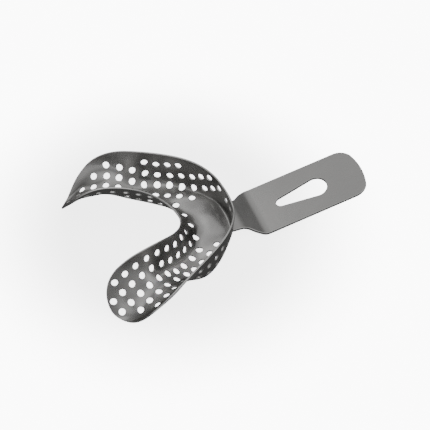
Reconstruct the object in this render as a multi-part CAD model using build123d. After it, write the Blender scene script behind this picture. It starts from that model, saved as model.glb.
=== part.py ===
from build123d import *
import math
import os

import numpy as np

# Impression tray for the lower arch: a perforated, pressed stainless sheet in
# the shape of a horseshoe trough, and a flat stamped strip handle spot-welded
# under the front of the trough.
#
# Frame: millimetres, +Z up (the open side of the trough faces up), +X along
# the handle, Y = 0 is the plane of symmetry. The origin is the middle of the
# overall box, on the level the tray rests on: the bend of the handle in front
# and the low corners of the two spoon-like ends behind.

# ---------------------------------------------------------------- dimensions
SHEET = 0.7             # tray sheet thickness
HOLE_D = 2.45           # retention hole diameter
STRIP = 1.1             # handle strip thickness
PLATE_W = 22.4          # width of the handle plate
NECK_W = 14.0           # width of the handle neck where it meets the tray
PLATE_R = 6.0           # corner radius of the plate's free end
END_BOW = 2.6           # how far the plate's end bows out
SLOT_R_BIG = 4.2        # teardrop slot, wide end radius
SLOT_R_SMALL = 1.9      # teardrop slot, narrow end radius
SLOT_X_BIG = 36.78      # teardrop slot, centre of the wide end
SLOT_X_SMALL = 22.75    # teardrop slot, centre of the narrow end
WELD_D = 3.2            # spot weld nugget diameter
WELD_T = 0.5            # nugget thickness, half in each sheet
WELD_GAP = 0.02         # the nuggets stand this far clear of the sheets

# Handle side profile, middle of the strip: (X, Z) corners and bend radii.
FOOT_X0 = -9.15         # heel of the foot
NECK_X = 4.42           # where the foot starts to turn down
BEND = (12.72, 0.36)    # low point, where the plate turns up
PLATE_END = (55.13, 8.96)
NECK_BEND_R = 9.0
BEND_R = 7.0

# Tray sheet, inside face. Each station crosses the trough from the inner rim
# to the outer rim; the first number is the place along the arch (0 = front,
# 1 = tip of the spoon end), then the eight control points of the section.
STATIONS = [
    (0.000, (-17.78, 0.00, 10.49), (-15.49, 0.00, 5.52), (-11.85, 0.00, 3.01), (-7.29, 0.00, 4.26), (-2.39, 0.00, 4.44), (0.65, 0.00, 4.17), (1.60, 0.00, 5.07), (0.82, 0.00, 14.77)),
    (0.060, (-18.02, 1.52, 10.73), (-15.46, 1.76, 5.85), (-12.40, 2.08, 3.20), (-8.11, 2.98, 4.12), (-3.16, 4.08, 4.44), (0.34, 4.80, 4.30), (0.90, 4.35, 4.77), (0.37, 4.79, 15.20)),
    (0.120, (-18.54, 3.02, 11.23), (-15.52, 3.53, 6.44), (-13.55, 4.04, 3.37), (-9.83, 5.63, 3.77), (-5.06, 7.68, 4.47), (-0.98, 9.00, 4.59), (-0.78, 8.32, 4.05), (-0.68, 8.99, 16.09)),
    (0.180, (-19.34, 4.63, 11.85), (-16.16, 5.49, 7.11), (-14.91, 6.09, 3.43), (-11.85, 7.99, 3.57), (-7.90, 10.75, 4.77), (-4.13, 12.62, 5.03), (-3.38, 12.26, 3.61), (-2.53, 12.82, 16.90)),
    (0.240, (-20.62, 6.55, 12.68), (-17.38, 7.62, 8.11), (-16.44, 8.39, 3.88), (-14.21, 10.22, 3.33), (-11.23, 13.64, 4.65), (-8.28, 16.56, 4.67), (-6.91, 16.98, 3.69), (-5.53, 17.03, 17.45)),
    (0.300, (-22.68, 8.71, 13.83), (-19.34, 9.66, 9.68), (-18.51, 10.77, 5.21), (-17.31, 12.17, 3.22), (-14.97, 16.27, 3.93), (-12.77, 20.77, 3.40), (-11.59, 22.06, 4.60), (-10.16, 21.44, 17.66)),
    (0.360, (-25.59, 10.88, 15.22), (-22.42, 11.81, 11.17), (-21.77, 13.19, 6.50), (-21.19, 14.27, 3.68), (-19.15, 18.75, 3.45), (-17.42, 23.88, 2.81), (-16.75, 25.84, 6.22), (-15.81, 25.48, 17.58)),
    (0.420, (-29.19, 12.85, 16.53), (-26.52, 14.11, 11.93), (-26.08, 15.56, 6.92), (-25.27, 16.63, 4.76), (-23.18, 20.98, 3.63), (-21.45, 24.93, 3.81), (-20.98, 27.23, 8.45), (-20.91, 28.64, 17.39)),
    (0.480, (-33.45, 14.64, 17.51), (-31.30, 16.30, 12.10), (-30.79, 18.08, 6.95), (-29.46, 19.43, 5.92), (-27.17, 23.21, 4.45), (-25.01, 25.51, 5.59), (-24.51, 28.06, 10.55), (-25.66, 31.43, 17.02)),
    (0.540, (-37.86, 16.17, 18.00), (-35.99, 17.96, 12.12), (-34.81, 20.77, 7.46), (-33.45, 22.66, 6.71), (-31.13, 25.47, 5.95), (-28.33, 27.27, 7.17), (-27.83, 30.15, 11.46), (-30.37, 34.02, 16.11)),
    (0.600, (-41.67, 17.26, 17.99), (-39.85, 19.10, 12.09), (-37.98, 22.85, 8.07), (-36.88, 25.38, 6.91), (-34.82, 27.46, 7.12), (-31.91, 29.60, 7.98), (-31.57, 32.72, 10.92), (-35.04, 35.95, 14.20)),
    (0.660, (-44.90, 18.03, 17.41), (-42.89, 20.12, 11.84), (-40.95, 23.71, 7.88), (-39.74, 26.72, 6.37), (-38.06, 28.98, 6.70), (-36.07, 31.31, 7.70), (-35.98, 34.30, 9.47), (-39.08, 36.87, 11.66)),
    (0.720, (-47.64, 18.62, 16.37), (-45.45, 21.01, 11.38), (-43.80, 24.08, 7.47), (-42.43, 27.28, 5.76), (-41.13, 29.93, 5.50), (-40.29, 32.16, 6.45), (-40.41, 34.70, 7.28), (-42.49, 36.75, 8.62)),
    (0.780, (-49.93, 19.12, 15.08), (-47.83, 21.65, 10.66), (-46.45, 24.72, 7.33), (-45.32, 27.85, 5.41), (-44.42, 30.25, 4.37), (-44.08, 32.24, 4.36), (-44.37, 34.15, 4.32), (-45.83, 35.74, 4.95)),
    (0.840, (-51.75, 19.68, 13.48), (-50.00, 22.06, 9.73), (-48.84, 25.00, 7.07), (-48.08, 27.72, 5.06), (-47.47, 29.54, 3.52), (-47.22, 31.18, 2.54), (-47.54, 32.53, 1.88), (-48.65, 33.73, 1.94)),
    (0.890, (-53.00, 20.30, 11.99), (-51.71, 22.30, 8.89), (-50.84, 24.61, 6.56), (-50.31, 26.76, 4.68), (-49.87, 28.18, 3.11), (-49.70, 29.51, 1.94), (-49.97, 30.59, 1.07), (-50.81, 31.57, 0.73)),
    (0.930, (-53.95, 21.11, 10.45), (-53.14, 22.60, 8.09), (-52.59, 24.22, 6.18), (-52.24, 25.77, 4.62), (-51.97, 26.88, 3.27), (-51.88, 27.91, 2.21), (-52.08, 28.80, 1.33), (-52.64, 29.61, 0.77)),
    (0.960, (-54.65, 22.09, 8.77), (-54.23, 23.05, 7.20), (-53.94, 24.08, 5.87), (-53.76, 25.09, 4.72), (-53.61, 25.87, 3.70), (-53.57, 26.60, 2.84), (-53.67, 27.26, 2.05), (-53.97, 27.88, 1.44)),
    (0.985, (-55.09, 23.12, 6.98), (-54.94, 23.60, 6.22), (-54.84, 24.12, 5.54), (-54.77, 24.62, 4.91), (-54.71, 25.05, 4.32), (-54.69, 25.47, 3.78), (-54.71, 25.87, 3.27), (-54.79, 26.25, 2.81)),
    (1.000, (-55.23, 24.21, 5.30), (-55.22, 24.30, 5.16), (-55.21, 24.39, 5.03), (-55.20, 24.49, 4.90), (-55.19, 24.58, 4.78), (-55.19, 24.67, 4.65), (-55.18, 24.75, 4.53), (-55.18, 24.84, 4.40)),
]

# Retention holes, (place along the arch, place across the section), one row
# after the other from the inner rim outwards; each is punched on both sides
# of the plane of symmetry. The front of the floor is left plain.
HOLES = [
    # inner flange, upper row
    (0.859, 0.046), (0.738, 0.051), (0.636, 0.050), (0.551, 0.047), (0.489, 0.051), (0.436, 0.064), (0.384, 0.076), (0.310, 0.056),
    # inner flange, second row
    (0.946, 0.330), (0.845, 0.171), (0.733, 0.145), (0.631, 0.130), (0.551, 0.125), (0.490, 0.153), (0.442, 0.197), (0.392, 0.213),
    (0.340, 0.209), (0.264, 0.185), (0.208, 0.055),
    # along the foot of the inner flange
    (0.915, 0.743), (0.824, 0.392), (0.720, 0.310), (0.626, 0.275), (0.544, 0.300), (0.493, 0.381), (0.450, 0.457), (0.397, 0.465),
    (0.332, 0.451), (0.263, 0.432), (0.164, 0.234),
    # middle of the floor
    (0.794, 0.682), (0.712, 0.561), (0.624, 0.536), (0.553, 0.553), (0.488, 0.579), (0.422, 0.604), (0.370, 0.615), (0.317, 0.622),
    (0.262, 0.632), (0.201, 0.649),
    # along the foot of the outer flange
    (0.707, 0.840), (0.640, 0.774), (0.574, 0.757), (0.502, 0.770), (0.431, 0.769), (0.362, 0.794), (0.312, 0.824), (0.267, 0.862),
    (0.225, 0.902), (0.179, 0.930), (0.134, 0.953), (0.087, 0.976), (0.026, 0.960),
    # outer flange, middle row
    (0.626, 0.925), (0.569, 0.894), (0.499, 0.895), (0.422, 0.897), (0.362, 0.905), (0.317, 0.922), (0.280, 0.940), (0.241, 0.955),
    (0.205, 0.971), (0.160, 0.984),
    # outer flange, upper row
    (0.424, 0.960), (0.372, 0.960), (0.332, 0.968), (0.297, 0.976),
]
# holes on the plane of symmetry itself
CENTRE_HOLES = [(0.0, 0.144)]

# Spot welds between the foot and the floor: (X, Y)
WELDS = [(-6.15, 3.6), (-6.15, -3.6), (-0.35, 3.6), (-0.35, -3.6)]


# ------------------------------------------------------------- tray surface
def spline_matrix(x, xi):
    """Rows that turn values at x into natural cubic spline values at xi."""
    n = len(x)
    h = np.diff(x)
    a = np.zeros((n, n))
    b = np.zeros((n, n))
    a[0, 0] = a[-1, -1] = 1.0
    for i in range(1, n - 1):
        a[i, i - 1], a[i, i], a[i, i + 1] = h[i - 1], 2 * (h[i - 1] + h[i]), h[i]
        b[i, i - 1] = 6 / h[i - 1]
        b[i, i] = -6 / h[i - 1] - 6 / h[i]
        b[i, i + 1] = 6 / h[i]
    m2 = np.linalg.solve(a, b)
    out = np.zeros((len(xi), n))
    for k, v in enumerate(xi):
        i = min(max(int(np.searchsorted(x, v)) - 1, 0), n - 2)
        t0, t1 = x[i + 1] - v, v - x[i]
        out[k] += m2[i] * (t0 ** 3 / (6 * h[i]) - t0 * h[i] / 6)
        out[k] += m2[i + 1] * (t1 ** 3 / (6 * h[i]) - t1 * h[i] / 6)
        out[k, i] += t0 / h[i]
        out[k, i + 1] += t1 / h[i]
    return out


def section_basis(w):
    """Clamped cubic basis for eight control points, knots every 0.2."""
    knots = [0, 0, 0, 0, 0.2, 0.4, 0.6, 0.8, 1, 1, 1, 1]
    w = min(max(w, 0.0), 1.0 - 1e-12)
    n = [1.0 if knots[i] <= w < knots[i + 1] else 0.0 for i in range(11)]
    for p in range(1, 4):
        m = []
        for i in range(11 - p):
            s = 0.0
            if knots[i + p] > knots[i]:
                s += (w - knots[i]) / (knots[i + p] - knots[i]) * n[i]
            if knots[i + p + 1] > knots[i + 1]:
                s += (knots[i + p + 1] - w) / (knots[i + p + 1] - knots[i + 1]) * n[i + 1]
            m.append(s)
        n = m
    return np.array(n)


_t = np.array([s[0] for s in STATIONS])
_c = np.array([s[1:] for s in STATIONS], float)            # stations x 8 x 3
_x = np.concatenate([-_t[:0:-1], _t])
_v = np.concatenate([_c[:0:-1] * np.array([1.0, -1.0, 1.0]), _c])


def sheet_points(ts, ws):
    """Inside-face points for every place along and across, shape (t, w, 3)."""
    tracks = np.einsum("ks,scj->kcj", spline_matrix(_x, ts), _v)
    basis = np.array([section_basis(w) for w in ws])
    return np.einsum("wc,kcj->kwj", basis, tracks)


def frame_at(t, w):
    """Point on the inside face, and the unit normal into the trough."""
    d = 1e-3
    w = min(max(w, d), 1 - d)
    g = sheet_points([t - d, t, t + d], [w - d, w, w + d])
    n = np.cross(g[2, 1] - g[0, 1], g[1, 2] - g[1, 0])
    n /= np.linalg.norm(n)
    return g[1, 1], n


def face_from(grid):
    return Face.make_surface_from_array_of_points(
        [[tuple(p) for p in row] for row in grid], tol=0.03, min_deg=3, max_deg=3
    )


def build_tray():
    """The pressed sheet as one closed solid, before its holes are punched."""
    # closer stations towards the tips, where the sections shorten
    half = np.concatenate(
        [np.linspace(0, 0.84, 37)[:-1], 1 - 0.16 * (1 - np.linspace(0, 1, 19)) ** 1.5]
    )
    ts = np.concatenate([-half[:0:-1], half])
    ws = np.linspace(0, 1, 29)
    top = sheet_points(ts, ws)
    n = np.cross(np.gradient(top, axis=0), np.gradient(top, axis=1))
    n /= np.linalg.norm(n, axis=2)[..., None]
    if n[len(ts) // 2, 14, 2] < 0:
        n = -n
    low = top - n * SHEET
    inside, outside = face_from(top), face_from(low)
    sides = []
    rest = list(outside.edges())
    for e in inside.edges():
        mate = min(rest, key=lambda o: (o.position_at(0.5) - e.position_at(0.5)).length)
        rest.remove(mate)
        sides.append(Face.make_surface_from_curves(e, mate))
    shell = Shell([inside, outside] + sides)
    return Solid(shell), low


def punches():
    """One cylinder per retention hole, square to the sheet."""
    out = []
    spots = [(t, w) for t, w in HOLES] + [(-t, w) for t, w in HOLES] + CENTRE_HOLES
    for t, w in spots:
        p, n = frame_at(t, w)
        if n @ np.array([0.0, 0.0, 1.0]) < 0 and abs(n[2]) > 0.3:
            n = -n
        base = p - n * (SHEET / 2 + 1.6)
        out.append(
            Solid.make_cylinder(HOLE_D / 2, 3.2, Plane(origin=tuple(base), z_dir=tuple(n)))
        )
    return out


def strip_outline():
    """Plan of the handle: foot, neck, shoulders, plate and bowed end."""
    hn, hw = NECK_W / 2, PLATE_W / 2
    x1 = PLATE_END[0]
    neck = Spline(
        (3.2, hn), (5.2, hn + 0.04), (6.7, 7.55), (8.2, 8.8), (10.1, 10.1), (13.2, hw),
        tangents=[(1, 0), (1, 0)],
    )
    top = Line((13.2, hw), (x1 - END_BOW, hw))
    end = ThreePointArc((x1 - END_BOW, hw), (x1, 0), (x1 - END_BOW, -hw))
    bottom = mirror(Curve() + [neck, top], about=Plane.XZ)
    foot = Polyline((3.2, -hn), (FOOT_X0, -hn), (FOOT_X0, hn), (3.2, hn))
    edges = [*(Curve() + [neck, top]).edges(), end, *bottom.edges(), *foot.edges()]
    face = make_face(edges)
    ends = [v for v in face.vertices() if v.X > x1 - 4]
    face = fillet(ends, PLATE_R)
    heel = [v for v in face.vertices() if v.X < FOOT_X0 + 0.1]
    return fillet(heel, 3.0)


def build_handle(foot_top):
    """The stamped strip: bent side profile cut to the plan outline."""
    z0 = foot_top - STRIP / 2
    pts = [(FOOT_X0 - 1, z0), (NECK_X, z0), BEND, (PLATE_END[0] + 1.0, PLATE_END[1] + (PLATE_END[1] - BEND[1]) / (PLATE_END[0] - BEND[0]))]

    def offset(side):
        out = []
        for i, p in enumerate(pts):
            dirs = []
            for a, b in ((i - 1, i), (i, i + 1)):
                if a >= 0 and b < len(pts):
                    v = np.array(pts[b]) - np.array(pts[a])
                    dirs.append(v / np.linalg.norm(v))
            n = sum(np.array([-d[1], d[0]]) for d in dirs)
            n /= np.linalg.norm(n)
            k = n @ np.array([-dirs[0][1], dirs[0][0]])
            out.append(tuple(np.array(p) + n / k * side * STRIP / 2))
        return out

    up, dn = offset(1), offset(-1)
    side = Plane.XZ * make_face(Polyline(*up, *dn[::-1], close=True))
    v = side.vertices()

    def near(p):
        return min(v, key=lambda q: (q.X - p[0]) ** 2 + (q.Z - p[1]) ** 2)

    side_face = side.faces()[0]
    h = STRIP / 2
    side_face = side_face.fillet_2d(NECK_BEND_R + h, [near(up[1])])
    v = side_face.vertices()
    side_face = side_face.fillet_2d(NECK_BEND_R - h, [near(dn[1])])
    v = side_face.vertices()
    side_face = side_face.fillet_2d(BEND_R - h, [near(up[2])])
    v = side_face.vertices()
    side_face = side_face.fillet_2d(BEND_R + h, [near(dn[2])])
    strip = extrude(side_face, amount=20, both=True)
    plan = extrude(Plane.XY.offset(-10) * strip_outline(), amount=40)
    strip = strip & plan
    # teardrop slot, square to the plate
    rise = math.atan2(PLATE_END[1] - BEND[1], PLATE_END[0] - BEND[0])
    zs = BEND[1] + (SLOT_X_BIG - BEND[0]) * math.tan(rise)
    pl = Plane(origin=(SLOT_X_BIG, 0, zs), x_dir=(math.cos(rise), 0, math.sin(rise)), z_dir=(-math.sin(rise), 0, math.cos(rise)))
    gap = (SLOT_X_BIG - SLOT_X_SMALL) / math.cos(rise)
    drop = make_hull(
        (Circle(SLOT_R_BIG) + Pos(-gap, 0) * Circle(SLOT_R_SMALL)).edges()
    )
    slot = extrude(pl * drop, amount=5, both=True)
    return strip - slot


def build():
    tray, low = build_tray()
    # underside of the floor above the foot
    f = low.reshape(-1, 3)
    m = (f[:, 0] > FOOT_X0) & (f[:, 0] < NECK_X + 1) & (np.abs(f[:, 1]) < NECK_W / 2 + 0.3) & (f[:, 2] < 6)
    foot_top = float(f[m][:, 2].min()) - 0.03
    handle = build_handle(foot_top)
    tray = tray.cut(*punches())
    # spot weld nuggets, each in a shallow pocket in both sheets
    welds, pockets = [], []
    for x, y in WELDS:
        k = np.argmin((f[:, 0] - x) ** 2 + (f[:, 1] - y) ** 2 + 1e3 * (f[:, 2] > 6))
        z_hi = float(f[k, 2]) + WELD_T / 2
        z_lo = foot_top - WELD_T / 2
        welds.append(Pos(x, y, (z_hi + z_lo) / 2) * Cylinder(WELD_D / 2, z_hi - z_lo))
        pockets.append(
            Pos(x, y, (z_hi + z_lo) / 2) * Cylinder(WELD_D / 2 + WELD_GAP, z_hi - z_lo + 2 * WELD_GAP)
        )
    tray = tray - pockets
    handle = handle - pockets
    return {"tray_body": tray, "handle": handle, "spot_welds": Compound(children=welds)}


if __name__ == "__main__":
    os.makedirs("parts", exist_ok=True)
    for name, shape in build().items():
        export_step(shape, "parts/" + name + ".step")
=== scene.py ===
import math

import bpy
import numpy as np
from mathutils import Matrix, Vector
from mathutils.geometry import delaunay_2d_cdt


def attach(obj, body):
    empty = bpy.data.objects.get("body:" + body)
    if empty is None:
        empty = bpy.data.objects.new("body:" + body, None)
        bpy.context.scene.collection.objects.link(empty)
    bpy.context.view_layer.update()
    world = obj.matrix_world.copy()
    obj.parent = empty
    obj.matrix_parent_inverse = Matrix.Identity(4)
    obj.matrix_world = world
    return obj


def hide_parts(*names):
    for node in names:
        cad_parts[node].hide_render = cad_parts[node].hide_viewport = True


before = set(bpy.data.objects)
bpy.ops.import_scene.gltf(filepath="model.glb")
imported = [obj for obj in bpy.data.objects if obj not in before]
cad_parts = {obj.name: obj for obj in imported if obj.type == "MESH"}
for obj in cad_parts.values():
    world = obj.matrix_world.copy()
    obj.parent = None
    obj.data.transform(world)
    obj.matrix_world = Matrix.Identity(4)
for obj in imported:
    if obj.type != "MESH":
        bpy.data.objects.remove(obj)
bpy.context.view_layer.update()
MM = 0.001

# ------------------------------------------------------------------ the tray
SHEET = 0.7             # sheet thickness, mm
HOLE_D = 2.45
EDGE_R = 0.20           # polished radius on the cut rim
HOLE_EDGE_R = 0.10      # deburred radius round each hole

STATIONS = [
    (0.000, (-17.78, 0.00, 10.49), (-15.49, 0.00, 5.52), (-11.85, 0.00, 3.01), (-7.29, 0.00, 4.26), (-2.39, 0.00, 4.44), (0.65, 0.00, 4.17), (1.60, 0.00, 5.07), (0.82, 0.00, 14.77)),
    (0.060, (-18.02, 1.52, 10.73), (-15.46, 1.76, 5.85), (-12.40, 2.08, 3.20), (-8.11, 2.98, 4.12), (-3.16, 4.08, 4.44), (0.34, 4.80, 4.30), (0.90, 4.35, 4.77), (0.37, 4.79, 15.20)),
    (0.120, (-18.54, 3.02, 11.23), (-15.52, 3.53, 6.44), (-13.55, 4.04, 3.37), (-9.83, 5.63, 3.77), (-5.06, 7.68, 4.47), (-0.98, 9.00, 4.59), (-0.78, 8.32, 4.05), (-0.68, 8.99, 16.09)),
    (0.180, (-19.34, 4.63, 11.85), (-16.16, 5.49, 7.11), (-14.91, 6.09, 3.43), (-11.85, 7.99, 3.57), (-7.90, 10.75, 4.77), (-4.13, 12.62, 5.03), (-3.38, 12.26, 3.61), (-2.53, 12.82, 16.90)),
    (0.240, (-20.62, 6.55, 12.68), (-17.38, 7.62, 8.11), (-16.44, 8.39, 3.88), (-14.21, 10.22, 3.33), (-11.23, 13.64, 4.65), (-8.28, 16.56, 4.67), (-6.91, 16.98, 3.69), (-5.53, 17.03, 17.45)),
    (0.300, (-22.68, 8.71, 13.83), (-19.34, 9.66, 9.68), (-18.51, 10.77, 5.21), (-17.31, 12.17, 3.22), (-14.97, 16.27, 3.93), (-12.77, 20.77, 3.40), (-11.59, 22.06, 4.60), (-10.16, 21.44, 17.66)),
    (0.360, (-25.59, 10.88, 15.22), (-22.42, 11.81, 11.17), (-21.77, 13.19, 6.50), (-21.19, 14.27, 3.68), (-19.15, 18.75, 3.45), (-17.42, 23.88, 2.81), (-16.75, 25.84, 6.22), (-15.81, 25.48, 17.58)),
    (0.420, (-29.19, 12.85, 16.53), (-26.52, 14.11, 11.93), (-26.08, 15.56, 6.92), (-25.27, 16.63, 4.76), (-23.18, 20.98, 3.63), (-21.45, 24.93, 3.81), (-20.98, 27.23, 8.45), (-20.91, 28.64, 17.39)),
    (0.480, (-33.45, 14.64, 17.51), (-31.30, 16.30, 12.10), (-30.79, 18.08, 6.95), (-29.46, 19.43, 5.92), (-27.17, 23.21, 4.45), (-25.01, 25.51, 5.59), (-24.51, 28.06, 10.55), (-25.66, 31.43, 17.02)),
    (0.540, (-37.86, 16.17, 18.00), (-35.99, 17.96, 12.12), (-34.81, 20.77, 7.46), (-33.45, 22.66, 6.71), (-31.13, 25.47, 5.95), (-28.33, 27.27, 7.17), (-27.83, 30.15, 11.46), (-30.37, 34.02, 16.11)),
    (0.600, (-41.67, 17.26, 17.99), (-39.85, 19.10, 12.09), (-37.98, 22.85, 8.07), (-36.88, 25.38, 6.91), (-34.82, 27.46, 7.12), (-31.91, 29.60, 7.98), (-31.57, 32.72, 10.92), (-35.04, 35.95, 14.20)),
    (0.660, (-44.90, 18.03, 17.41), (-42.89, 20.12, 11.84), (-40.95, 23.71, 7.88), (-39.74, 26.72, 6.37), (-38.06, 28.98, 6.70), (-36.07, 31.31, 7.70), (-35.98, 34.30, 9.47), (-39.08, 36.87, 11.66)),
    (0.720, (-47.64, 18.62, 16.37), (-45.45, 21.01, 11.38), (-43.80, 24.08, 7.47), (-42.43, 27.28, 5.76), (-41.13, 29.93, 5.50), (-40.29, 32.16, 6.45), (-40.41, 34.70, 7.28), (-42.49, 36.75, 8.62)),
    (0.780, (-49.93, 19.12, 15.08), (-47.83, 21.65, 10.66), (-46.45, 24.72, 7.33), (-45.32, 27.85, 5.41), (-44.42, 30.25, 4.37), (-44.08, 32.24, 4.36), (-44.37, 34.15, 4.32), (-45.83, 35.74, 4.95)),
    (0.840, (-51.75, 19.68, 13.48), (-50.00, 22.06, 9.73), (-48.84, 25.00, 7.07), (-48.08, 27.72, 5.06), (-47.47, 29.54, 3.52), (-47.22, 31.18, 2.54), (-47.54, 32.53, 1.88), (-48.65, 33.73, 1.94)),
    (0.890, (-53.00, 20.30, 11.99), (-51.71, 22.30, 8.89), (-50.84, 24.61, 6.56), (-50.31, 26.76, 4.68), (-49.87, 28.18, 3.11), (-49.70, 29.51, 1.94), (-49.97, 30.59, 1.07), (-50.81, 31.57, 0.73)),
    (0.930, (-53.95, 21.11, 10.45), (-53.14, 22.60, 8.09), (-52.59, 24.22, 6.18), (-52.24, 25.77, 4.62), (-51.97, 26.88, 3.27), (-51.88, 27.91, 2.21), (-52.08, 28.80, 1.33), (-52.64, 29.61, 0.77)),
    (0.960, (-54.65, 22.09, 8.77), (-54.23, 23.05, 7.20), (-53.94, 24.08, 5.87), (-53.76, 25.09, 4.72), (-53.61, 25.87, 3.70), (-53.57, 26.60, 2.84), (-53.67, 27.26, 2.05), (-53.97, 27.88, 1.44)),
    (0.985, (-55.09, 23.12, 6.98), (-54.94, 23.60, 6.22), (-54.84, 24.12, 5.54), (-54.77, 24.62, 4.91), (-54.71, 25.05, 4.32), (-54.69, 25.47, 3.78), (-54.71, 25.87, 3.27), (-54.79, 26.25, 2.81)),
    (1.000, (-55.23, 24.21, 5.30), (-55.22, 24.30, 5.16), (-55.21, 24.39, 5.03), (-55.20, 24.49, 4.90), (-55.19, 24.58, 4.78), (-55.19, 24.67, 4.65), (-55.18, 24.75, 4.53), (-55.18, 24.84, 4.40)),
]

HOLES = [
    # inner flange, upper row
    (0.859, 0.046), (0.738, 0.051), (0.636, 0.050), (0.551, 0.047), (0.489, 0.051), (0.436, 0.064), (0.384, 0.076), (0.310, 0.056),
    # inner flange, second row
    (0.946, 0.330), (0.845, 0.171), (0.733, 0.145), (0.631, 0.130), (0.551, 0.125), (0.490, 0.153), (0.442, 0.197), (0.392, 0.213),
    (0.340, 0.209), (0.264, 0.185), (0.208, 0.055),
    # along the foot of the inner flange
    (0.915, 0.743), (0.824, 0.392), (0.720, 0.310), (0.626, 0.275), (0.544, 0.300), (0.493, 0.381), (0.450, 0.457), (0.397, 0.465),
    (0.332, 0.451), (0.263, 0.432), (0.164, 0.234),
    # middle of the floor
    (0.794, 0.682), (0.712, 0.561), (0.624, 0.536), (0.553, 0.553), (0.488, 0.579), (0.422, 0.604), (0.370, 0.615), (0.317, 0.622),
    (0.262, 0.632), (0.201, 0.649),
    # along the foot of the outer flange
    (0.707, 0.840), (0.640, 0.774), (0.574, 0.757), (0.502, 0.770), (0.431, 0.769), (0.362, 0.794), (0.312, 0.824), (0.267, 0.862),
    (0.225, 0.902), (0.179, 0.930), (0.134, 0.953), (0.087, 0.976), (0.026, 0.960),
    # outer flange, middle row
    (0.626, 0.925), (0.569, 0.894), (0.499, 0.895), (0.422, 0.897), (0.362, 0.905), (0.317, 0.922), (0.280, 0.940), (0.241, 0.955),
    (0.205, 0.971), (0.160, 0.984),
    # outer flange, upper row
    (0.424, 0.960), (0.372, 0.960), (0.332, 0.968), (0.297, 0.976),
]
# holes on the plane of symmetry itself
CENTRE_HOLES = [(0.0, 0.144)]

def spline_matrix(x, xi):
    """Rows that turn values at x into natural cubic spline values at xi."""
    n = len(x)
    h = np.diff(x)
    a = np.zeros((n, n))
    b = np.zeros((n, n))
    a[0, 0] = a[-1, -1] = 1.0
    for i in range(1, n - 1):
        a[i, i - 1], a[i, i], a[i, i + 1] = h[i - 1], 2 * (h[i - 1] + h[i]), h[i]
        b[i, i - 1] = 6 / h[i - 1]
        b[i, i] = -6 / h[i - 1] - 6 / h[i]
        b[i, i + 1] = 6 / h[i]
    m2 = np.linalg.solve(a, b)
    out = np.zeros((len(xi), n))
    for k, v in enumerate(xi):
        i = min(max(int(np.searchsorted(x, v)) - 1, 0), n - 2)
        t0, t1 = x[i + 1] - v, v - x[i]
        out[k] += m2[i] * (t0 ** 3 / (6 * h[i]) - t0 * h[i] / 6)
        out[k] += m2[i + 1] * (t1 ** 3 / (6 * h[i]) - t1 * h[i] / 6)
        out[k, i] += t0 / h[i]
        out[k, i + 1] += t1 / h[i]
    return out


def section_basis(w):
    """Clamped cubic basis for eight control points, knots every 0.2."""
    knots = [0, 0, 0, 0, 0.2, 0.4, 0.6, 0.8, 1, 1, 1, 1]
    w = min(max(w, 0.0), 1.0 - 1e-12)
    n = [1.0 if knots[i] <= w < knots[i + 1] else 0.0 for i in range(11)]
    for p in range(1, 4):
        m = []
        for i in range(11 - p):
            s = 0.0
            if knots[i + p] > knots[i]:
                s += (w - knots[i]) / (knots[i + p] - knots[i]) * n[i]
            if knots[i + p + 1] > knots[i + 1]:
                s += (knots[i + p + 1] - w) / (knots[i + p + 1] - knots[i + 1]) * n[i + 1]
            m.append(s)
        n = m
    return np.array(n)


_t = np.array([s[0] for s in STATIONS])
_c = np.array([s[1:] for s in STATIONS], float)            # stations x 8 x 3
_x = np.concatenate([-_t[:0:-1], _t])
_v = np.concatenate([_c[:0:-1] * np.array([1.0, -1.0, 1.0]), _c])


def sheet_points(ts, ws):
    """Inside-face points for every place along and across, shape (t, w, 3)."""
    tracks = np.einsum("ks,scj->kcj", spline_matrix(_x, ts), _v)
    basis = np.array([section_basis(w) for w in ws])
    return np.einsum("wc,kcj->kwj", basis, tracks)

def rows_at(t, w):
    """Inside-face points at matching places t and w (two arrays)."""
    tr = np.einsum("ks,scj->kcj", spline_matrix(_x, np.asarray(t, float)), _v)
    b = np.array([section_basis(x) for x in w])
    return np.einsum("kc,kcj->kj", b, tr)


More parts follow.
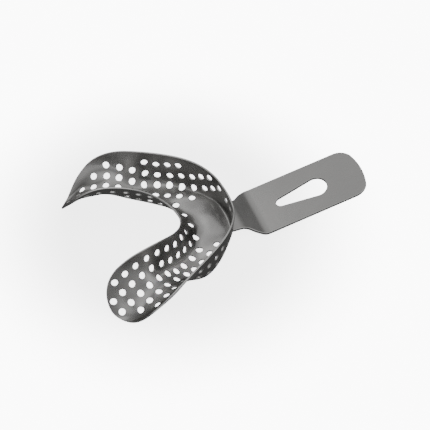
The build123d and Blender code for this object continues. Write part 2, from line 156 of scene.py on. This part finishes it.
class TraySurface:
    """Inside face of the tray in a flattened chart (u along, v across), mm."""

    def __init__(self):
        self.us = 75.0
        self.ts = np.linspace(-1, 1, 641)
        g = sheet_points(self.ts, np.linspace(0, 1, 61))
        self.g = g
        self.len = np.linalg.norm(np.diff(g, axis=1), axis=2).sum(1)
        # dense table for fast lookups
        self.nt, self.nw = 1601, 321
        self.tt = np.linspace(-1, 1, self.nt)
        self.ww = np.linspace(0, 1, self.nw)
        self.tab = sheet_points(self.tt, self.ww)
        dt = np.gradient(self.tab, self.tt, axis=0)
        dw = np.gradient(self.tab, self.ww, axis=1)
        n = np.cross(dt, dw)
        n /= np.linalg.norm(n, axis=2)[..., None]
        if n[self.nt // 2, self.nw // 2, 2] < 0:
            n = -n
        self.ntab, self.dt, self.dw = n, dt, dw

    def chart(self, t, w):
        t = np.asarray(t, float); w = np.asarray(w, float)
        return np.column_stack([t * self.us, (w - 0.5) * np.interp(t, self.ts, self.len)])

    def unchart(self, p):
        t = np.clip(p[:, 0] / self.us, -1, 1)
        return t, np.clip(p[:, 1] / np.interp(t, self.ts, self.len) + 0.5, 0, 1)

    def _bi(self, tab, t, w):
        a = np.clip((np.asarray(t) + 1) / 2 * (self.nt - 1), 0, self.nt - 1 - 1e-9)
        b = np.clip(np.asarray(w) * (self.nw - 1), 0, self.nw - 1 - 1e-9)
        i, j = a.astype(int), b.astype(int)
        fa, fb = (a - i)[:, None], (b - j)[:, None]
        return ((1 - fa) * (1 - fb) * tab[i, j] + fa * (1 - fb) * tab[i + 1, j]
                + (1 - fa) * fb * tab[i, j + 1] + fa * fb * tab[i + 1, j + 1])

    def at(self, t, w):
        p = self._bi(self.tab, t, w)
        n = self._bi(self.ntab, t, w)
        return p, n / np.linalg.norm(n, axis=1)[:, None]

    def jac(self, t, w):
        return self._bi(self.dt, t, w), self._bi(self.dw, t, w)


def ring(surf, t0, w0, r, count, phase=0.0):
    """Places (t, w) whose points lie on a circle of radius r round a place, in its tangent plane."""
    p0, n0 = surf.at([t0], [w0])
    a, b = surf.jac([t0], [w0])
    p0, n0, a, b = p0[0], n0[0], a[0], b[0]
    e1 = a / np.linalg.norm(a)
    e2 = np.cross(n0, e1)
    th = phase + 2 * np.pi * np.arange(count) / count
    goal = np.column_stack([np.cos(th), np.sin(th)]) * r
    t, w = np.full(count, t0), np.full(count, w0)
    for _ in range(6):
        p, _n = surf.at(t, w)
        da, db = surf.jac(t, w)
        d = p - p0
        res = goal - np.column_stack([d @ e1, d @ e2])
        j11, j12, j21, j22 = da @ e1, db @ e1, da @ e2, db @ e2
        det = j11 * j22 - j12 * j21
        t = t + (j22 * res[:, 0] - j12 * res[:, 1]) / det
        w = w + (-j21 * res[:, 0] + j11 * res[:, 1]) / det
    return t, w, p0


def hexgrid(x0, x1, y0, y1, s):
    pts = []
    k, y = 0, y0
    while y <= y1:
        x = x0 + (s / 2 if k % 2 else 0)
        while x <= x1:
            pts.append((x, y))
            x += s
        y += s * 0.8660254
        k += 1
    return np.array(pts)


def inside_poly(p, poly):
    """Even-odd test of points p in a closed polygon."""
    x, y = p[:, 0], p[:, 1]
    c = np.zeros(len(p), bool)
    a, b = poly, np.roll(poly, -1, axis=0)
    for (x1, y1), (x2, y2) in zip(a, b):
        if y1 == y2:
            continue
        m = (y1 > y) != (y2 > y)
        c ^= m & (x < (x2 - x1) * (y - y1) / (y2 - y1) + x1)
    return c


def sheet_mesh(name, loops, grid2, surface, thick, outs):
    """A sheet with thickness, rounded edges and holes, as one closed mesh.

    loops: [(chart points, outward 3-D directions or None, edge radius)], the first is the outside.
    grid2: interior chart points. surface(chart points) -> points, normals (mm).
    outs[i]: outward unit directions of loop i, in the sheet, pointing off the metal.
    """
    verts2, edges, base = [], [], []
    for pts, _r in loops:
        s = len(verts2)
        verts2 += [tuple(p) for p in pts]
        m = len(pts)
        edges += [(s + i, s + (i + 1) % m) for i in range(m)]
        base.append((s, m))
    nb = len(verts2)
    verts2 += [tuple(p) for p in grid2]
    res = delaunay_2d_cdt([Vector(v) for v in verts2], edges, [], 1, 1e-6)
    vo, fo, orig = res[0], res[2], res[3]
    vo = np.array([tuple(v) for v in vo])
    cent = np.array([vo[list(f)].mean(0) for f in fo])
    keep = inside_poly(cent, np.array(loops[0][0]))
    for pts, _r in loops[1:]:
        pts = np.array(pts)
        c, rad = pts.mean(0), np.linalg.norm(pts - pts.mean(0), axis=1).max() + 0.01
        near = np.linalg.norm(cent - c, axis=1) < rad
        if near.any():
            idx = np.nonzero(near)[0]
            keep[idx[inside_poly(cent[idx], pts)]] = False
    tris = [tuple(f) for f, k in zip(fo, keep) if k]
    # map input boundary vertices to output ones
    out_of = {}
    for i, o in enumerate(orig):
        for q in o:
            out_of[q] = i
    P, N = surface(vo)
    # keep only used vertices
    used = sorted({i for f in tris for i in f})
    remap = {o: k for k, o in enumerate(used)}
    P, N = P[used], N[used]
    top = [tuple(remap[i] for i in f) for f in tris]
    # exact inset edge points and their outward directions
    nv = len(P)
    V = [P, P - N * thick]
    VN = [N, -N]
    faces = []
    a, b, c = np.array([P[f[0]] for f in top]), np.array([P[f[1]] for f in top]), np.array([P[f[2]] for f in top])
    up = np.einsum("ij,ij->i", np.cross(b - a, c - a), np.array([N[f[0]] for f in top])) > 0
    for f, u in zip(top, up):
        f = f if u else f[::-1]
        faces.append(f)
        faces.append(tuple(nv + i for i in f[::-1]))
    count = 2 * nv
    edge_attr = [np.zeros(2 * nv)]
    for (s, m), out, (pts, r) in zip(base, outs, loops):
        ids = [remap[out_of[s + i]] for i in range(m)]
        p, n = P[ids], N[ids]
        o = out - n * np.einsum("ij,ij->i", out, n)[:, None]
        o /= np.linalg.norm(o, axis=1)[:, None]
        prof, pn = [], []
        seg = 4
        for k in range(1, seg + 1):
            th = math.pi / 2 * k / seg
            prof.append(p + o * r * math.sin(th) - n * r * (1 - math.cos(th)))
            pn.append(o * math.sin(th) + n * math.cos(th))
        for k in range(0, seg):
            th = math.pi / 2 * k / seg
            prof.append(p + o * r * math.cos(th) - n * (thick - r + r * math.sin(th)))
            pn.append(o * math.cos(th) - n * math.sin(th))
        rowsi = [ids]
        for q, qn in zip(prof, pn):
            V.append(q); VN.append(qn / np.linalg.norm(qn, axis=1)[:, None])
            rowsi.append(list(range(count, count + m)))
            count += m
            edge_attr.append(np.ones(m))
        rowsi.append([nv + i for i in ids])
        # winding from the first quad
        pa = np.vstack(V)
        i0, i1 = rowsi[0][0], rowsi[0][1]
        j0 = rowsi[3][0]
        nrm = np.cross(pa[i1] - pa[i0], pa[j0] - pa[i0])
        flip = nrm @ (o[0] + n[0]) < 0
        for ra, rb in zip(rowsi[:-1], rowsi[1:]):
            for i in range(m):
                q = (ra[i], ra[(i + 1) % m], rb[(i + 1) % m], rb[i])
                faces.append(q[::-1] if flip else q)
    V = np.vstack(V) * MM
    VN = np.vstack(VN)
    me = bpy.data.meshes.new(name)
    me.from_pydata([tuple(v) for v in V], [], [tuple(int(i) for i in f) for f in faces])
    me.update()
    me.polygons.foreach_set("use_smooth", [True] * len(me.polygons))
    # the "edge" mask marks the rounded rims and hole edges; the steel material paints a lighter highlight colour there
    at = me.attributes.new("edge", "FLOAT", "POINT")
    at.data.foreach_set("value", np.concatenate(edge_attr).astype(np.float32))
    me.normals_split_custom_set_from_vertices([tuple(v) for v in VN])
    ob = bpy.data.objects.new(name, me)
    bpy.context.scene.collection.objects.link(ob)
    return ob


def build_tray():
    S = TraySurface()
    # rim: along the inner edge, round one tip, back along the outer edge, round the other
    def line(w, t0, t1, step=0.55):
        tt = np.linspace(t0, t1, 4001)
        p = rows_at(tt, np.full(len(tt), w))
        s = np.concatenate([[0], np.cumsum(np.linalg.norm(np.diff(p, axis=0), axis=1))])
        k = max(int(s[-1] / step), 4)
        t = np.interp(np.linspace(0, s[-1], k + 1), s, tt)
        return t
    tin = line(0.0, -1, 1)
    tout = line(1.0, 1, -1)
    rim_t = np.concatenate([tin, tout])
    rim_w = np.concatenate([np.zeros(len(tin)), np.ones(len(tout))])
    B, n = S.at(rim_t, rim_w)
    # the rim itself, smoothed round the tips
    loop = B.copy()
    for _ in range(2):
        sm = (np.roll(loop, 1, 0) + 2 * loop + np.roll(loop, -1, 0)) / 4
        k = (np.abs(rim_t) > 0.975)[:, None]
        loop = np.where(k, sm, loop)
    tan = np.roll(loop, -1, 0) - np.roll(loop, 1, 0)
    tan /= np.linalg.norm(tan, axis=1)[:, None]
    out = np.cross(tan, n)
    out /= np.linalg.norm(out, axis=1)[:, None]
    mid, _ = S.at(rim_t, np.full(len(rim_t), 0.5))
    if np.einsum("ij,ij->i", out, B - mid).mean() < 0:
        out = -out
    # inset by the edge radius, solved in (t, w)
    goal = loop - out * EDGE_R
    t, w = rim_t.copy(), np.where(rim_w < 0.5, 0.02, 0.98)
    t = np.clip(t, -0.996, 0.996)
    for _ in range(12):
        p, _n = S.at(t, w)
        da, db = S.jac(t, w)
        d = goal - p
        g11, g12, g22 = (da * da).sum(1), (da * db).sum(1), (db * db).sum(1)
        r1, r2 = (d * da).sum(1), (d * db).sum(1)
        det = g11 * g22 - g12 * g12 + 1e-9
        t = np.clip(t + np.clip((g22 * r1 - g12 * r2) / det, -0.02, 0.02), -1, 1)
        w = np.clip(w + np.clip((g11 * r2 - g12 * r1) / det, -0.2, 0.2), 0, 1)
    loops = [(S.chart(t, w), EDGE_R)]
    outs = [out]
    centres = []
    spots = [(a, b) for a, b in HOLES] + [(-a, b) for a, b in HOLES] + CENTRE_HOLES
    grid_rings = []
    for a, b in spots:
        tr, wr, p0 = ring(S, a, b, HOLE_D / 2 + HOLE_EDGE_R, 32)
        pr, nr = S.at(tr, wr)
        o = p0 - pr
        o /= np.linalg.norm(o, axis=1)[:, None]
        loops.append((S.chart(tr, wr), HOLE_EDGE_R))
        outs.append(o)
        centres.append(p0)
        t2, w2, _ = ring(S, a, b, HOLE_D / 2 + HOLE_EDGE_R + 0.28, 24, 0.13)
        ok = (w2 > 0.02) & (w2 < 0.98) & (np.abs(t2) < 0.99)
        grid_rings.append(np.column_stack([t2, w2])[ok])
    centres = np.array(centres)
    # interior points
    half = S.len.max() / 2
    g = hexgrid(-75, 75, -half, half, 0.85)
    tg = g[:, 0] / S.us
    wg = g[:, 1] / np.interp(tg, S.ts, S.len) + 0.5
    # even spacing along each section: turn the share of its length into w
    tn, wn, share = np.linspace(-1, 1, 161), np.linspace(0, 1, 201), np.linspace(0, 1, 101)
    even = np.zeros((len(tn), len(share)))
    for k, a in enumerate(tn):
        q = rows_at(np.full(len(wn), a), wn)
        run = np.concatenate([[0], np.cumsum(np.linalg.norm(np.diff(q, axis=0), axis=1))])
        even[k] = np.interp(share * run[-1], run, wn)
    fa = np.clip((tg + 1) / 2 * (len(tn) - 1), 0, len(tn) - 1.001)
    fb = np.clip(wg * (len(share) - 1), 0, len(share) - 1.001)
    ia, ib = fa.astype(int), fb.astype(int)
    ra, rb = fa - ia, fb - ib
    warped = (even[ia, ib] * (1 - ra) * (1 - rb) + even[ia + 1, ib] * ra * (1 - rb)
              + even[ia, ib + 1] * (1 - ra) * rb + even[ia + 1, ib + 1] * ra * rb)
    wg = np.where((wg > 0.0) & (wg < 1.0), warped, wg)
    ok = (np.abs(tg) < 0.995) & (wg > 0.0) & (wg < 1.0)
    tg, wg = tg[ok], wg[ok]
    pg, _ = S.at(tg, wg)
    keep = np.ones(len(pg), bool)
    for c in centres:
        keep &= np.linalg.norm(pg - c, axis=1) > HOLE_D / 2 + HOLE_EDGE_R + 0.62
    rimp, _ = S.at(t, w)
    for k in range(0, len(pg), 4000):
        q = pg[k:k + 4000]
        dist = np.sqrt(((q[:, None] - rimp[None]) ** 2).sum(-1)).min(1)
        keep[k:k + 4000] &= dist > 0.45
    pts = [np.column_stack([tg[keep], wg[keep]])]
    allr = np.vstack(grid_rings)
    pr, _ = S.at(allr[:, 0], allr[:, 1])
    dr = np.sqrt(((pr[:, None] - rimp[None]) ** 2).sum(-1)).min(1)
    hc = np.sqrt(((pr[:, None] - centres[None]) ** 2).sum(-1))
    two = np.sort(hc, axis=1)[:, 1] > HOLE_D / 2 + HOLE_EDGE_R + 0.2
    allr = allr[(dr > 0.3) & two]
    pts.append(allr)
    pts = np.vstack(pts)
    grid2 = S.chart(pts[:, 0], pts[:, 1])

    def surface(c):
        tt, wt = S.unchart(c)
        return S.at(tt, wt)

    return sheet_mesh("tray_shell", loops, grid2, surface, SHEET, outs)


# ---------------------------------------------------------------- the handle
STRIP = 1.1
PLATE_W = 22.4
NECK_W = 14.0
PLATE_R = 6.0
END_BOW = 2.6
SLOT_R_BIG = 4.2
SLOT_R_SMALL = 1.9
SLOT_X_BIG = 36.78
SLOT_X_SMALL = 22.75
FOOT_X0 = -9.15
FOOT_MID = 2.506
NECK_X = 4.42
BEND = (12.72, 0.36)
PLATE_END = (55.13, 8.96)
NECK_BEND_R = 9.0
BEND_R = 7.0
STRIP_EDGE_R = 0.22


def strip_profile():
    """Middle line of the strip from the heel to the free end: arc length, x, z, slope."""
    far = (PLATE_END[0] + 2.0, PLATE_END[1] + 2.0 * (PLATE_END[1] - BEND[1]) / (PLATE_END[0] - BEND[0]))
    p = [np.array(q, float) for q in ((FOOT_X0 - 1, FOOT_MID), (NECK_X, FOOT_MID), BEND, far)]
    ang = [math.atan2(b[1] - a[1], b[0] - a[0]) for a, b in zip(p[:-1], p[1:])]
    xs, zs, th = [p[0][0]], [p[0][1]], [ang[0]]
    for k, r in ((1, NECK_BEND_R), (2, BEND_R)):
        a0, a1 = ang[k - 1], ang[k]
        tl = r * math.tan(abs(a1 - a0) / 2)
        start = p[k] - tl * np.array([math.cos(a0), math.sin(a0)])
        side = 1 if a1 > a0 else -1
        c = start + side * r * np.array([-math.sin(a0), math.cos(a0)])
        for q in np.linspace(a0, a1, 25):
            xs.append(c[0] + side * r * math.sin(q)); zs.append(c[1] - side * r * math.cos(q)); th.append(q)
    xs.append(p[3][0]); zs.append(p[3][1]); th.append(ang[2])
    xs, zs, th = map(np.array, (xs, zs, th))
    s = np.concatenate([[0], np.cumsum(np.hypot(np.diff(xs), np.diff(zs)))])
    return s, xs, zs, th


def clamped(pts, n):
    """Smooth curve through pts with level tangents at both ends."""
    pts = np.array(pts, float)
    u = np.concatenate([[0], np.cumsum(np.linalg.norm(np.diff(pts, axis=0), axis=1))])
    h = np.diff(u)
    k = len(pts)
    a = np.zeros((k, k)); r = np.zeros((k, 2))
    a[0, 0] = a[-1, -1] = 1
    r[0] = r[-1] = (1.0, 0.0)
    for i in range(1, k - 1):
        a[i, i - 1], a[i, i], a[i, i + 1] = h[i], 2 * (h[i - 1] + h[i]), h[i - 1]
        r[i] = 3 * (h[i] * (pts[i] - pts[i - 1]) / h[i - 1] + h[i - 1] * (pts[i + 1] - pts[i]) / h[i])
    d = np.linalg.solve(a, r)
    out = []
    for v in np.linspace(0, u[-1], n):
        i = min(int(np.searchsorted(u, v, side="right")) - 1, k - 2)
        t = (v - u[i]) / h[i]
        out.append((2 * t ** 3 - 3 * t ** 2 + 1) * pts[i] + (t ** 3 - 2 * t ** 2 + t) * h[i] * d[i]
                   + (-2 * t ** 3 + 3 * t ** 2) * pts[i + 1] + (t ** 3 - t ** 2) * h[i] * d[i + 1])
    return np.array(out)


def resample(poly, step):
    """Closed polygon with near-even spacing."""
    q = np.vstack([poly, poly[:1]])
    s = np.concatenate([[0], np.cumsum(np.linalg.norm(np.diff(q, axis=0), axis=1))])
    n = int(s[-1] / step)
    v = np.linspace(0, s[-1], n + 1)[:-1]
    return np.column_stack([np.interp(v, s, q[:, 0]), np.interp(v, s, q[:, 1])])


def poly_normals(poly):
    t = np.roll(poly, -1, 0) - np.roll(poly, 1, 0)
    n = np.column_stack([t[:, 1], -t[:, 0]])
    n /= np.linalg.norm(n, axis=1)[:, None]
    if np.einsum("ij,ij->i", n, poly - poly.mean(0)).mean() < 0:
        n = -n
    return n


def build_handle():
    ps, px, pz, pth = strip_profile()

    def s_of(x):
        return np.interp(x, px, ps)

    hn, hw = NECK_W / 2, PLATE_W / 2
    x1 = PLATE_END[0] - 0.12
    neck = clamped([(3.2, hn), (5.2, hn + 0.04), (6.7, 7.55), (8.2, 8.8), (10.1, 10.1), (13.2, hw)], 60)
    rb = (hw ** 2 + END_BOW ** 2) / (2 * END_BOW)
    cx = x1 - rb + math.sqrt((rb - PLATE_R) ** 2 - (hw - PLATE_R) ** 2)
    a0 = math.atan2(hw - PLATE_R, cx - (x1 - rb))
    cor = [(cx + PLATE_R * math.cos(a), hw - PLATE_R + PLATE_R * math.sin(a)) for a in np.linspace(math.pi / 2, a0, 24)]
    bow = [(x1 - rb + rb * math.cos(a), rb * math.sin(a)) for a in np.linspace(a0, 0, 8)[1:]]
    heel = [(FOOT_X0 + 3.0 - 3.0 * math.sin(a), hn - 3.0 + 3.0 * math.cos(a)) for a in np.linspace(math.pi / 2, 0, 14)]
    half = np.array([(FOOT_X0, 0.0)] + heel + [tuple(p) for p in neck] + cor + bow)
    full = np.vstack([half, half[1:-1][::-1] * np.array([1, -1])])
    plan = np.column_stack([s_of(full[:, 0]), full[:, 1]])
    plan = resample(plan, 0.5)
    pn = poly_normals(plan)
    rise = math.atan2(PLATE_END[1] - BEND[1], PLATE_END[0] - BEND[0])
    sb, ss = s_of(SLOT_X_BIG), s_of(SLOT_X_BIG) - (SLOT_X_BIG - SLOT_X_SMALL) / math.cos(rise)
    g = sb - ss
    al = math.acos((SLOT_R_BIG - SLOT_R_SMALL) / g)
    big = [(sb + SLOT_R_BIG * math.cos(a), SLOT_R_BIG * math.sin(a)) for a in np.linspace(-(math.pi - al), math.pi - al, 60)]
    small = [(ss + SLOT_R_SMALL * math.cos(a), SLOT_R_SMALL * math.sin(a)) for a in np.linspace(math.pi - al, math.pi + al, 24)]
    slot = resample(np.array(big + small), 0.35)
    sn = poly_normals(slot)
    er = STRIP_EDGE_R

    def surface(c):
        x = np.interp(c[:, 0], ps, px); z = np.interp(c[:, 0], ps, pz); th = np.interp(c[:, 0], ps, pth)
        n = np.column_stack([-np.sin(th), np.zeros(len(c)), np.cos(th)])
        return np.column_stack([x, c[:, 1], z]) + n * STRIP / 2, n

    def lift(c, d):
        th = np.interp(c[:, 0], ps, pth)
        return np.column_stack([d[:, 0] * np.cos(th), d[:, 1], d[:, 0] * np.sin(th)])

    inner, hole = plan - pn * er, slot + sn * er
    grid = hexgrid(0.0, ps[-1], -hw, hw, 0.8)
    ok = inside_poly(grid, inner) & ~inside_poly(grid, hole)
    for lp in (inner, hole):
        d = np.sqrt(((grid[:, None] - lp[None]) ** 2).sum(-1)).min(1)
        ok &= d > 0.42
    return sheet_mesh("handle_strip", [(inner, er), (hole, er)], grid[ok], surface, STRIP, [lift(inner, pn), lift(hole, -sn)])


tray = build_tray()
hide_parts("tray_body")
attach(tray, "root")

handle = build_handle()
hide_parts("handle")
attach(handle, "root")

# ---------------------------------------------------------------- materials
def nodes_of(name):
    m = bpy.data.materials.new(name)
    m.use_nodes = True
    nt = m.node_tree
    nt.nodes.clear()
    return m, nt, nt.nodes, nt.links


def steel(name, base=(0.48, 0.475, 0.465), dark=(0.40, 0.396, 0.39), rough=(0.15, 0.24), brush=(6.0, 900.0, 900.0), bump=0.05):
    """Satin polished stainless: fine brushing, faint smears and slight hammer of a pressed sheet, with a painted
    highlight (a lighter base colour) on the rounded edges.
    """
    m, nt, N, L = nodes_of(name)
    out = N.new("ShaderNodeOutputMaterial")
    b = N.new("ShaderNodeBsdfPrincipled")
    b.inputs["Metallic"].default_value = 1.0
    L.new(b.outputs[0], out.inputs[0])
    tc = N.new("ShaderNodeTexCoord")
    mp = N.new("ShaderNodeMapping")
    mp.inputs["Scale"].default_value = brush
    L.new(tc.outputs["Object"], mp.inputs[0])
    fine = N.new("ShaderNodeTexNoise")
    fine.inputs["Scale"].default_value = 14.0
    fine.inputs["Detail"].default_value = 6.0
    fine.inputs["Roughness"].default_value = 0.6
    L.new(mp.outputs[0], fine.inputs["Vector"])
    smear = N.new("ShaderNodeTexNoise")
    smear.inputs["Scale"].default_value = 85.0
    smear.inputs["Detail"].default_value = 5.0
    L.new(tc.outputs["Object"], smear.inputs["Vector"])
    cloud = N.new("ShaderNodeTexNoise")
    cloud.inputs["Scale"].default_value = 420.0
    cloud.inputs["Detail"].default_value = 3.0
    L.new(tc.outputs["Object"], cloud.inputs["Vector"])
    edge = N.new("ShaderNodeAttribute")
    edge.attribute_name = "edge"
    col = N.new("ShaderNodeMix"); col.data_type = "RGBA"
    col.inputs[6].default_value = (*dark, 1); col.inputs[7].default_value = (*base, 1)
    L.new(smear.outputs[0], col.inputs[0])
    # painted highlight: the rounded rims and hole edges get a lighter base colour (0.66 against 0.48), a bright rim
    # line painted into the metal's colour
    rim_highlight_mix = N.new("ShaderNodeMix"); rim_highlight_mix.data_type = "RGBA"
    rim_highlight_mix.inputs[7].default_value = (0.66, 0.655, 0.645, 1)
    L.new(edge.outputs["Fac"], rim_highlight_mix.inputs[0])
    L.new(col.outputs[2], rim_highlight_mix.inputs[6])
    L.new(rim_highlight_mix.outputs[2], b.inputs["Base Color"])
    mr = N.new("ShaderNodeMapRange")
    mr.inputs["From Min"].default_value = 0.3; mr.inputs["From Max"].default_value = 0.7
    mr.inputs["To Min"].default_value = rough[0]; mr.inputs["To Max"].default_value = rough[1]
    L.new(smear.outputs[0], mr.inputs[0])
    add = N.new("ShaderNodeMath"); add.operation = "MULTIPLY_ADD"
    add.inputs[1].default_value = 0.10
    L.new(fine.outputs[0], add.inputs[0])
    L.new(mr.outputs[0], add.inputs[2])
    er = N.new("ShaderNodeMix"); er.data_type = "FLOAT"
    er.inputs[3].default_value = 0.22
    L.new(edge.outputs["Fac"], er.inputs[0])
    L.new(add.outputs[0], er.inputs[2])
    L.new(er.outputs[0], b.inputs["Roughness"])
    b.inputs["Anisotropic"].default_value = 0.0
    bp = N.new("ShaderNodeBump")
    bp.inputs["Strength"].default_value = bump
    bp.inputs["Distance"].default_value = 0.0002
    L.new(fine.outputs[0], bp.inputs["Height"])
    bp2 = N.new("ShaderNodeBump")
    bp2.inputs["Strength"].default_value = 0.05
    bp2.inputs["Distance"].default_value = 0.0006
    L.new(cloud.outputs[0], bp2.inputs["Height"])
    L.new(bp.outputs[0], bp2.inputs["Normal"])
    L.new(bp2.outputs[0], b.inputs["Normal"])
    return m


sheet_mat = steel("sheet_steel_satin")
strip_mat = steel("strip_steel_brushed", rough=(0.17, 0.26), brush=(4.0, 700.0, 700.0))
weld_mat = steel("weld_nugget", base=(0.5, 0.46, 0.42), dark=(0.32, 0.30, 0.30), rough=(0.35, 0.5), brush=(300.0, 300.0, 300.0))
tray.data.materials.append(sheet_mat)
handle.data.materials.append(strip_mat)
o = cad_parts["spot_welds"]
o.data.materials.clear()
o.data.materials.append(weld_mat)

# -------------------------------------------------------------------- stage
# soft panels round the part: azimuth, elevation, spread (degrees), strength
LOBES = [
    (-144, 8, 38, 0.656), (-108, 8, 38, 0.071), (-72, 8, 38, 0.176), (-36, 8, 38, 0.289),
    (108, 8, 38, 0.276), (-126, 32, 38, 0.105), (-90, 32, 38, 0.11), (-54, 32, 38, 0.132),
    (-18, 32, 38, 0.604), (54, 32, 38, 0.083), (90, 32, 38, 0.448), (126, 32, 38, 0.121),
    (-180, 56, 36, 0.286), (-120, 56, 36, 0.113), (-60, 56, 36, 0.158), (0, 56, 36, 0.329),
    (60, 56, 36, 0.3), (-135, 76, 34, 0.393), (135, 76, 34, 0.097), (0, 90, 30, 0.238),
    (-90, 75, 90, 0.035),
]
FLOOR_GLOW = 0.097
AMBIENT = 0.0
# near panels: place, aim (metres), side, watts
PANELS = [
    ((-0.03, 0.11, 0.16), (0.02, 0.0, 0.003), 0.07, 0.0081),
]
FLOOR_WHITE = 10.0       # the pale floor as the camera sees it, away from the part
FLOOR_NEAR = 4.0         # and close under the trough, where the part keeps light off it
floor_me = bpy.data.meshes.new("floor")
s = 2.5
floor_me.from_pydata([(-s, -s, -0.0002), (s, -s, -0.0002), (s, s, -0.0002), (-s, s, -0.0002)], [], [(0, 1, 2, 3)])
floor = bpy.data.objects.new("floor", floor_me)
bpy.context.scene.collection.objects.link(floor)
m, nt, N, L = nodes_of("floor_pale")
out = N.new("ShaderNodeOutputMaterial")
dif = N.new("ShaderNodeBsdfDiffuse"); dif.inputs[0].default_value = (0.9, 0.9, 0.9, 1)
em = N.new("ShaderNodeEmission"); em.inputs[0].default_value = (1, 1, 1, 1); em.inputs[1].default_value = FLOOR_WHITE
mix = N.new("ShaderNodeAddShader")
dk = N.new("ShaderNodeEmission"); dk.inputs[0].default_value = (1, 1, 1, 1); dk.inputs[1].default_value = FLOOR_GLOW
lp = N.new("ShaderNodeLightPath")
sel = N.new("ShaderNodeMixShader")
L.new(dif.outputs[0], mix.inputs[0]); L.new(em.outputs[0], mix.inputs[1])
L.new(lp.outputs["Is Camera Ray"], sel.inputs[0])
L.new(dk.outputs[0], sel.inputs[1]); L.new(mix.outputs[0], sel.inputs[2])
# painted shadow: the floor's glow drops from FLOOR_WHITE to FLOOR_NEAR close under the part, a soft shadow painted into
# the floor's emission
geo = N.new("ShaderNodeNewGeometry")
dist = N.new("ShaderNodeVectorMath"); dist.operation = "DISTANCE"
dist.inputs[1].default_value = (-0.02, 0.006, 0.0)
L.new(geo.outputs["Position"], dist.inputs[0])
floor_shadow_ramp = N.new("ShaderNodeMapRange"); floor_shadow_ramp.interpolation_type = "SMOOTHSTEP"
floor_shadow_ramp.inputs["From Min"].default_value = 0.035; floor_shadow_ramp.inputs["From Max"].default_value = 0.085
floor_shadow_ramp.inputs["To Min"].default_value = FLOOR_NEAR; floor_shadow_ramp.inputs["To Max"].default_value = FLOOR_WHITE
L.new(dist.outputs["Value"], floor_shadow_ramp.inputs[0])
L.new(floor_shadow_ramp.outputs[0], em.inputs[1])
L.new(sel.outputs[0], out.inputs[0])
floor_me.materials.append(m)

world = bpy.data.worlds.new("studio")
bpy.context.scene.world = world
world.use_nodes = True
nt = world.node_tree; N = nt.nodes; L = nt.links
N.clear()
out = N.new("ShaderNodeOutputWorld")
bg = N.new("ShaderNodeBackground")
tc = N.new("ShaderNodeTexCoord")


def lobe(az, el, spread, value):
    """One soft panel: full at its middle, fading smoothly to nothing at the spread angle."""
    a, e = math.radians(az), math.radians(el)
    d = N.new("ShaderNodeVectorMath"); d.operation = "DOT_PRODUCT"
    d.inputs[1].default_value = (math.cos(e) * math.cos(a), math.cos(e) * math.sin(a), math.sin(e))
    L.new(tc.outputs["Generated"], d.inputs[0])
    r = N.new("ShaderNodeMapRange"); r.interpolation_type = "SMOOTHSTEP"
    r.inputs["From Min"].default_value = math.cos(math.radians(spread))
    r.inputs["From Max"].default_value = 1.0
    r.inputs["To Min"].default_value = 0; r.inputs["To Max"].default_value = value
    L.new(d.outputs["Value"], r.inputs[0])
    return r.outputs[0]


total = None
for item in LOBES:
    v = lobe(*item)
    if total is None:
        total = v
    else:
        add = N.new("ShaderNodeMath"); add.operation = "ADD"
        L.new(total, add.inputs[0]); L.new(v, add.inputs[1])
        total = add.outputs[0]
add = N.new("ShaderNodeMath"); add.operation = "ADD"; add.inputs[1].default_value = AMBIENT
L.new(total, add.inputs[0])
L.new(add.outputs[0], bg.inputs["Strength"])
bg.inputs["Color"].default_value = (1, 1, 1, 1)
L.new(bg.outputs[0], out.inputs[0])

for k, (place, aim, side, watts) in enumerate(PANELS):
    ld = bpy.data.lights.new("panel_%d" % k, "AREA")
    ld.shape = "SQUARE"
    ld.size = side
    ld.energy = watts
    lo = bpy.data.objects.new("panel_%d" % k, ld)
    bpy.context.scene.collection.objects.link(lo)
    lo.location = place
    lo.rotation_mode = "QUATERNION"
    lo.rotation_quaternion = (Vector(aim) - Vector(place)).to_track_quat("-Z", "Y")

# ------------------------------------------------------------------- camera
cam_d = bpy.data.cameras.new("camera")
cam_d.sensor_width = 36.0
cam_d.lens = 2400.0 / 430.0 * 36.0
cam_d.clip_start = 0.05; cam_d.clip_end = 20
cam = bpy.data.objects.new("camera", cam_d)
bpy.context.scene.collection.objects.link(cam)
rot = Matrix(((0.9267828, 0.264845, -0.2663285), (-0.3747474, 0.6997116, -0.60825), (0.0252611, 0.6635215, 0.7477306)))
cam.matrix_world = Matrix.Translation((-0.239872, -0.538861, 0.668423)) @ rot.to_4x4()
bpy.context.scene.camera = cam

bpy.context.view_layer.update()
